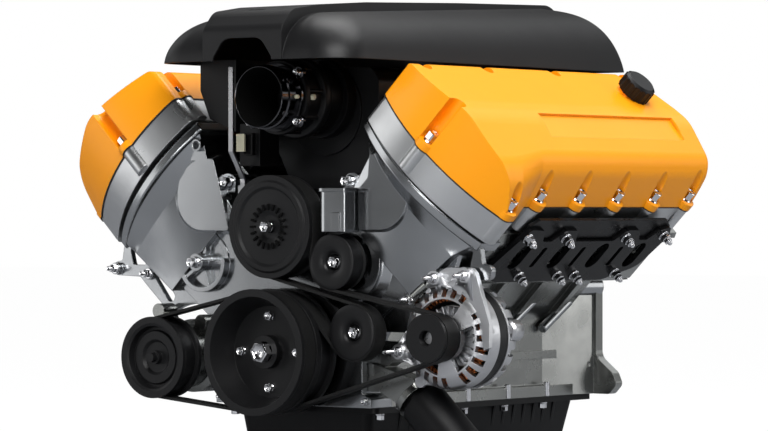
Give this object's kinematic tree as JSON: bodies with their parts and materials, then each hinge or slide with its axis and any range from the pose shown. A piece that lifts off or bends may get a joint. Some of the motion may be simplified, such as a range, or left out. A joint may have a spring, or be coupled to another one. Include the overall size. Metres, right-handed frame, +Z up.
{
  "type": "v8 petrol engine",
  "caption": "Automotive V engine with wide banks, twin-cam heads, timing cover, belt drive and accessories, sump, intake and top cover; crank, cams, pistons and pulleys move",
  "frame": {"origin": "crank axis where it meets the rear face of the crankshaft's flywheel flange", "axes": "+Y to the rear of the engine along the crank, +Z up, +X towards the bank that is on the right when the belt drive is faced"},
  "size_m": [0.789, 0.7235, 0.6995],
  "materials": {
    "cast_aluminium": "sand-cast, bead-blasted satin",
    "machined_aluminium": "polished satin",
    "cast_iron": "as cast with machined faces",
    "black_iron": "black heat-resistant coat",
    "steel": "ground",
    "chrome": "mirror bright",
    "black_paint": "satin black",
    "orange_paint": "gloss amber orange",
    "rubber": "matte",
    "black_rubber": "matte",
    "black_plastic": "fine grained matte",
    "brass": "satin",
    "copper": "enamelled copper wire"
  },
  "bodies": {
    "engine": {"accessory_brackets": "cast_aluminium", "alternator_front_housing": "machined_aluminium", "alternator_rear_housing": "machined_aluminium", "alternator_stator": "copper", "cam_carrier_left": "cast_aluminium", "cam_carrier_right": "cast_aluminium", "compressor_body": "machined_aluminium", "cylinder_block": "cast_aluminium", "cylinder_head_left": "cast_aluminium", "cylinder_head_right": "cast_aluminium", "drive_belt_compressor": "rubber", "drive_belt_main": "rubber", "engine_cover": "black_plastic", "exhaust_flange_left": "black_iron", "exhaust_flange_right": "black_iron", "exhaust_nuts": "chrome", "front_bolts": "chrome", "fuel_rails": "steel", "gaskets": "black_rubber", "intake_manifold": "black_plastic", "intake_tube": "chrome", "main_bearing_caps": "cast_iron", "oil_filter": "black_paint", "oil_pan": "black_paint", "oil_pickup": "steel", "rear_seal_carrier": "machined_aluminium", "sensor_module": "black_plastic", "spark_plugs": "steel", "support_strip": "steel", "throttle_body": "black_plastic", "timing_chains": "steel", "timing_cover": "machined_aluminium", "valve_cover_bolts": "chrome", "valve_cover_left": "orange_paint", "valve_cover_right": "orange_paint", "valves": "steel", "water_pump_housing": "machined_aluminium"},
    "crank": {"crankshaft": "steel", "crank_pulley": "black_paint", "crank_pulley_bolts": "chrome"},
    "cam_intake_right": {"camshaft_intake_right": "steel"},
    "cam_intake_left": {"camshaft_intake_left": "steel"},
    "cam_exhaust_right": {"camshaft_exhaust_right": "steel"},
    "cam_exhaust_left": {"camshaft_exhaust_left": "steel"},
    "pump_wheel": {"water_pump_pulley": "black_paint"},
    "upper_idler": {"upper_idler_pulley": "black_paint"},
    "lower_idler": {"lower_idler_pulley": "black_paint"},
    "alternator_spindle": {"alternator_pulley": "black_paint", "alternator_rotor": "steel"},
    "compressor_clutch": {"compressor_pulley": "black_paint"},
    "throttle": {"throttle_plate": "brass"},
    "filler_cap": {"oil_filler_cap": "black_plastic"},
    "slug_left_1": {"piston_left_1": "machined_aluminium"},
    "slug_left_2": {"piston_left_2": "machined_aluminium"},
    "slug_left_3": {"piston_left_3": "machined_aluminium"},
    "slug_left_4": {"piston_left_4": "machined_aluminium"},
    "slug_right_1": {"piston_right_1": "machined_aluminium"},
    "slug_right_2": {"piston_right_2": "machined_aluminium"},
    "slug_right_3": {"piston_right_3": "machined_aluminium"},
    "slug_right_4": {"piston_right_4": "machined_aluminium"}
  },
  "joints": [
    {"name": "crank_spin", "type": "hinge", "parent": "engine", "child": "crank", "pos_m": [0, -0.3, 0], "axis": [0, 1, 0], "continuous": true},
    {"name": "cam_intake_right_spin", "type": "hinge", "parent": "engine", "child": "cam_intake_right", "pos_m": [0.23334, -0.3, 0.29698], "axis": [0, 1, 0], "continuous": true},
    {"name": "cam_exhaust_right_spin", "type": "hinge", "parent": "engine", "child": "cam_exhaust_right", "pos_m": [0.29698, -0.3, 0.23334], "axis": [0, 1, 0], "continuous": true},
    {"name": "cam_intake_left_spin", "type": "hinge", "parent": "engine", "child": "cam_intake_left", "pos_m": [-0.23334, -0.3, 0.29698], "axis": [0, 1, 0], "continuous": true},
    {"name": "cam_exhaust_left_spin", "type": "hinge", "parent": "engine", "child": "cam_exhaust_left", "pos_m": [-0.29698, -0.3, 0.23334], "axis": [0, 1, 0], "continuous": true},
    {"name": "pump_spin", "type": "hinge", "parent": "engine", "child": "pump_wheel", "pos_m": [0, -0.55, 0.1797], "axis": [0, 1, 0], "continuous": true},
    {"name": "upper_idler_spin", "type": "hinge", "parent": "engine", "child": "upper_idler", "pos_m": [0.1077, -0.545, 0.1298], "axis": [0, 1, 0], "continuous": true},
    {"name": "lower_idler_spin", "type": "hinge", "parent": "engine", "child": "lower_idler", "pos_m": [0.1442, -0.545, 0.0301], "axis": [0, 1, 0], "continuous": true},
    {"name": "alternator_spin", "type": "hinge", "parent": "engine", "child": "alternator_spindle", "pos_m": [0.2782, -0.5, 0.025], "axis": [0, 1, 0], "continuous": true},
    {"name": "compressor_spin", "type": "hinge", "parent": "engine", "child": "compressor_clutch", "pos_m": [-0.1897, -0.55, -0.0114], "axis": [0, 1, 0], "continuous": true},
    {"name": "throttle_turn", "type": "hinge", "parent": "engine", "child": "throttle", "pos_m": [0, -0.474, 0.366], "axis": [0, 0, 1], "range_deg": [0, 80], "stiffness_Nm_per_rad": 0.02, "springref_deg": -20.05},
    {"name": "filler_cap_pull", "type": "slide", "parent": "engine", "child": "filler_cap", "axis": [0.7071, 0, 0.7071], "range_m": [0, 0.06]},
    {"name": "piston_right_1_stroke", "type": "slide", "parent": "engine", "child": "slug_right_1", "axis": [0.7071, 0, 0.7071], "range_m": [-0.082, 0]},
    {"name": "piston_right_2_stroke", "type": "slide", "parent": "engine", "child": "slug_right_2", "axis": [0.7071, 0, 0.7071], "range_m": [-0.03553, 0.04647]},
    {"name": "piston_right_3_stroke", "type": "slide", "parent": "engine", "child": "slug_right_3", "axis": [0.7071, 0, 0.7071], "range_m": [-0.03553, 0.04647]},
    {"name": "piston_right_4_stroke", "type": "slide", "parent": "engine", "child": "slug_right_4", "axis": [0.7071, 0, 0.7071], "range_m": [0, 0.082]},
    {"name": "piston_left_1_stroke", "type": "slide", "parent": "engine", "child": "slug_left_1", "axis": [-0.7071, 0, 0.7071], "range_m": [-0.03553, 0.04647]},
    {"name": "piston_left_2_stroke", "type": "slide", "parent": "engine", "child": "slug_left_2", "axis": [-0.7071, 0, 0.7071], "range_m": [0, 0.082]},
    {"name": "piston_left_3_stroke", "type": "slide", "parent": "engine", "child": "slug_left_3", "axis": [-0.7071, 0, 0.7071], "range_m": [-0.082, 0]},
    {"name": "piston_left_4_stroke", "type": "slide", "parent": "engine", "child": "slug_left_4", "axis": [-0.7071, 0, 0.7071], "range_m": [-0.03553, 0.04647]}
  ],
  "couplings": [
    {"joint": "cam_intake_right_spin", "follows": "crank_spin", "ratio": 0.5},
    {"joint": "cam_exhaust_right_spin", "follows": "crank_spin", "ratio": 0.5},
    {"joint": "cam_intake_left_spin", "follows": "crank_spin", "ratio": 0.5},
    {"joint": "cam_exhaust_left_spin", "follows": "crank_spin", "ratio": 0.5},
    {"joint": "pump_spin", "follows": "crank_spin", "ratio": 1.2006},
    {"joint": "upper_idler_spin", "follows": "crank_spin", "ratio": -2.1975},
    {"joint": "lower_idler_spin", "follows": "crank_spin", "ratio": -2.1975},
    {"joint": "alternator_spin", "follows": "crank_spin", "ratio": 2.6708},
    {"joint": "compressor_spin", "follows": "crank_spin", "ratio": 1.5282}
  ]
}
